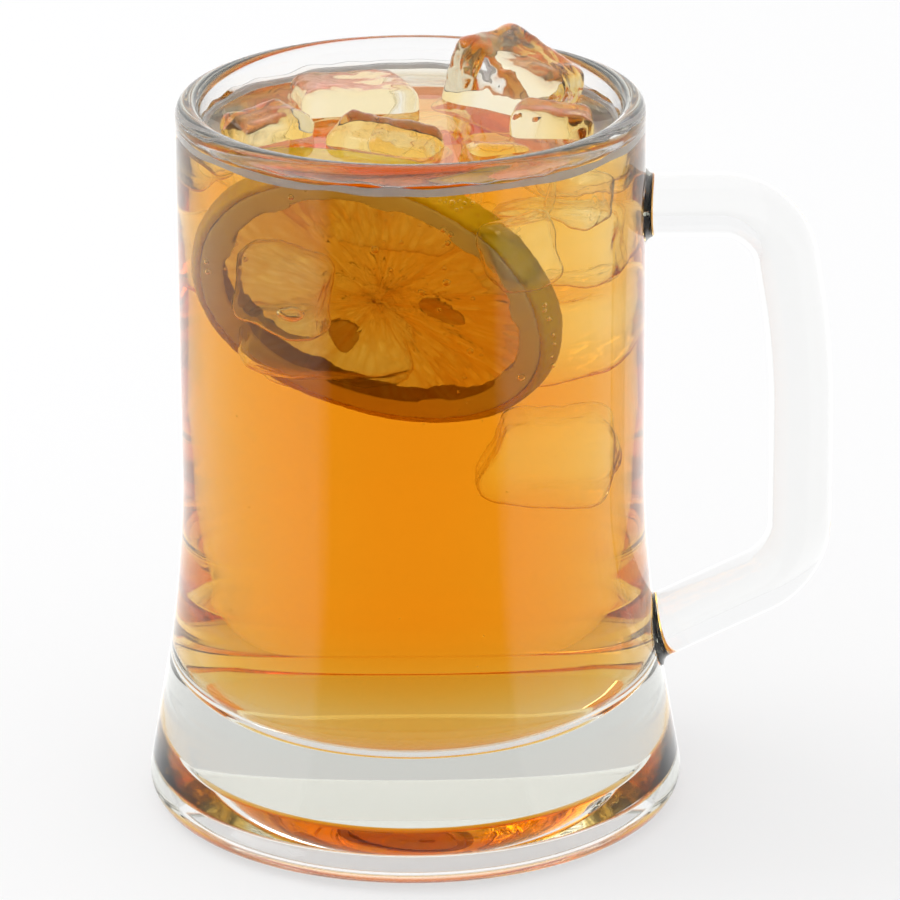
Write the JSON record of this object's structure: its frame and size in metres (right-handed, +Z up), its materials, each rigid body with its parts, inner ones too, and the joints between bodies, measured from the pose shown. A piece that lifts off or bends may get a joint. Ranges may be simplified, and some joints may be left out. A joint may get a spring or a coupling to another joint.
{
  "type": "glass mug of iced drink with lemon",
  "caption": "Thick-walled clear glass mug with a flared foot and an angular handle, filled with an amber iced drink, a lemon slice and melting ice.",
  "frame": {"origin": "centre of the flat underside, on the mug's axis, at the level it stands on", "axes": "+Z up along the mug's axis, +X towards the handle, -Y towards the front that the lemon slice faces"},
  "size_m": [0.1352, 0.1058, 0.1504],
  "materials": {
    "clear_glass": "clear pressed soda glass, fire-polished",
    "amber_drink": "clear amber liquid",
    "lemon_zest": "waxy dimpled lemon zest",
    "lemon_pith": "spongy white pith, soaked",
    "lemon_pulp": "wet translucent citrus pulp",
    "clear_ice": "clear wet melting ice"
  },
  "bodies": {
    "root": {"mug_glass": "clear_glass", "drink": "amber_drink", "lemon_rind": "lemon_zest", "lemon_pith": "lemon_pith", "lemon_segment_1": "lemon_pulp", "lemon_segment_2": "lemon_pulp", "lemon_segment_3": "lemon_pulp", "lemon_segment_4": "lemon_pulp", "lemon_segment_5": "lemon_pulp", "lemon_segment_6": "lemon_pulp", "lemon_segment_7": "lemon_pulp", "lemon_segment_8": "lemon_pulp", "lemon_segment_9": "lemon_pulp", "ice_1": "clear_ice", "ice_2": "clear_ice", "ice_3": "clear_ice", "ice_4": "clear_ice", "ice_5": "clear_ice", "ice_6": "clear_ice"}
  },
  "joints": []
}
